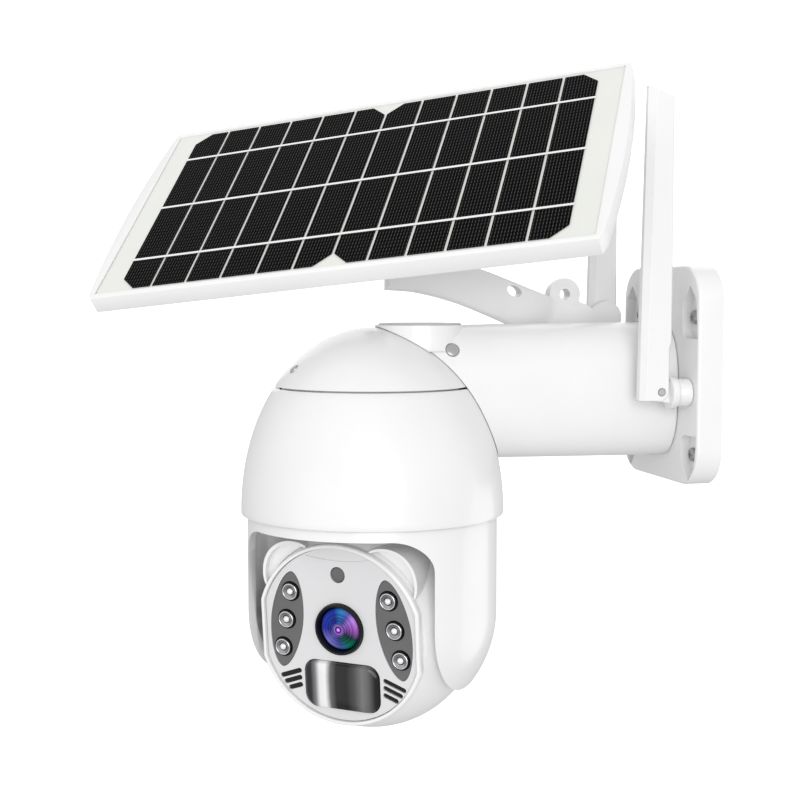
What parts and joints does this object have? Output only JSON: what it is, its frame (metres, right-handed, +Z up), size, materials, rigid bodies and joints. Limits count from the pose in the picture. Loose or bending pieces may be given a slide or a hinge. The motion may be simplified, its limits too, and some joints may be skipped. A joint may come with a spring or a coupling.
{
  "type": "solar security camera",
  "caption": "Wall-mounted dome security camera on a short arm that pans and tilts, with a tilting solar panel on a curved bracket and two swivelling blade antennas.",
  "frame": {"origin": "where the arm's centre line meets the wall, on the wall plate's back face", "axes": "+Y is the wall plate's outward normal, into the wall, so the arm reaches out along -Y; +Z is up; +X is the side of the near antenna"},
  "size_m": [0.2713, 0.3358, 0.3689],
  "materials": {
    "white_plastic": "glossy white moulding",
    "grey_plastic": "satin grey",
    "black_plastic": "satin black",
    "face_plastic": "silver-grey paint on plastic",
    "frame_plastic": "satin off-white",
    "backsheet": "satin off-white",
    "solar_cell": "dark silicon under a clear coat",
    "steel": "zinc plated",
    "screw_steel": "stainless",
    "chrome": "bright reflector",
    "brass": "machined",
    "circuit_board": "green solder mask",
    "battery_wrap": "blue shrink wrap",
    "smoked_window": "smoked grey",
    "dark_glass": "glossy black infrared-clear plastic",
    "lens_glass": "coated optical glass"
  },
  "bodies": {
    "base": {"wall_plate": "steel", "base_housing": "white_plastic", "wall_screw_1": "screw_steel", "wall_screw_2": "screw_steel", "wall_screw_3": "screw_steel", "wall_screw_4": "screw_steel", "arm_tube": "white_plastic", "arm_end_cap": "grey_plastic", "arm_plug": "grey_plastic", "dome_cap": "white_plastic", "dome_plug": "grey_plastic", "dome_skirt": "white_plastic", "chassis_plate": "steel", "pan_bearing": "steel", "pan_motor": "steel", "main_board": "circuit_board", "battery_pack": "battery_wrap", "antenna_socket_near": "white_plastic", "antenna_socket_far": "white_plastic", "panel_saddle": "white_plastic", "saddle_screw_1": "screw_steel", "saddle_screw_2": "screw_steel", "bracket_arm": "white_plastic", "foot_screw_1": "screw_steel", "foot_screw_2": "screw_steel"},
    "pan_drive": {"pan_pinion": "brass"},
    "yoke": {"yoke": "white_plastic", "pan_gear": "grey_plastic", "tilt_gear": "brass", "tilt_pivot": "steel"},
    "camera_ball": {"ball_front": "white_plastic", "ball_rear": "white_plastic", "face_bezel": "white_plastic", "face_plate": "face_plastic", "visor_left": "white_plastic", "visor_right": "white_plastic", "lens_bezel": "black_plastic", "lens_barrel": "black_plastic", "lens_glass": "lens_glass", "light_sensor": "black_plastic", "led_window_left": "smoked_window", "led_window_right": "smoked_window", "led_board_left": "chrome", "led_board_right": "chrome", "pir_lens": "dark_glass", "grille_left": "black_plastic", "grille_right": "black_plastic", "camera_board": "circuit_board", "tilt_motor": "steel"},
    "tilt_drive": {"tilt_pinion": "brass"},
    "antenna_near": {"antenna_knuckle_near": "white_plastic", "antenna_blade_near": "white_plastic"},
    "antenna_far": {"antenna_knuckle_far": "white_plastic", "antenna_blade_far": "white_plastic"},
    "panel_swivel": {"panel_swivel": "white_plastic", "hinge_bolt": "steel"},
    "solar_panel": {"panel_frame": "frame_plastic", "solar_laminate": "backsheet", "solar_cells": "solar_cell", "panel_back_cover": "white_plastic"}
  },
  "joints": [
    {"name": "pan", "type": "hinge", "parent": "base", "child": "yoke", "pos_m": [0, -0.185, 0], "axis": [0, 0, 1], "range_deg": [-177.5, 177.5]},
    {"name": "pan_pinion_spin", "type": "hinge", "parent": "base", "child": "pan_drive", "pos_m": [0, -0.23, 0], "axis": [0, 0, 1], "range_deg": [-720, 720]},
    {"name": "tilt", "type": "hinge", "parent": "yoke", "child": "camera_ball", "pos_m": [0, -0.185, -0.124], "axis": [0.6293, 0.7771, 0], "range_deg": [-15, 85]},
    {"name": "tilt_pinion_spin", "type": "hinge", "parent": "camera_ball", "child": "tilt_drive", "pos_m": [-0.01858, -0.16995, -0.12191], "axis": [0.6293, 0.7771, 0], "range_deg": [-50, 260]},
    {"name": "antenna_near_swivel", "type": "hinge", "parent": "base", "child": "antenna_near", "pos_m": [0.04, 0, 0], "axis": [0, 1, 0], "range_deg": [0, 90]},
    {"name": "antenna_far_swivel", "type": "hinge", "parent": "base", "child": "antenna_far", "pos_m": [-0.04, 0, 0], "axis": [0, 1, 0], "range_deg": [-90, 0]},
    {"name": "panel_turn", "type": "hinge", "parent": "base", "child": "panel_swivel", "pos_m": [-0.02885, -0.17692, 0.0983], "axis": [-0.0565, -0.0838, 0.9949], "range_deg": [-60, 7]},
    {"name": "panel_tilt", "type": "hinge", "parent": "panel_swivel", "child": "solar_panel", "pos_m": [-0.02885, -0.17692, 0.0983], "axis": [0.5563, 0.8248, 0.1011], "range_deg": [-12, 20]}
  ],
  "couplings": [
    {"joint": "pan_pinion_spin", "follows": "pan", "ratio": -4},
    {"joint": "tilt_pinion_spin", "follows": "tilt", "ratio": 3}
  ]
}
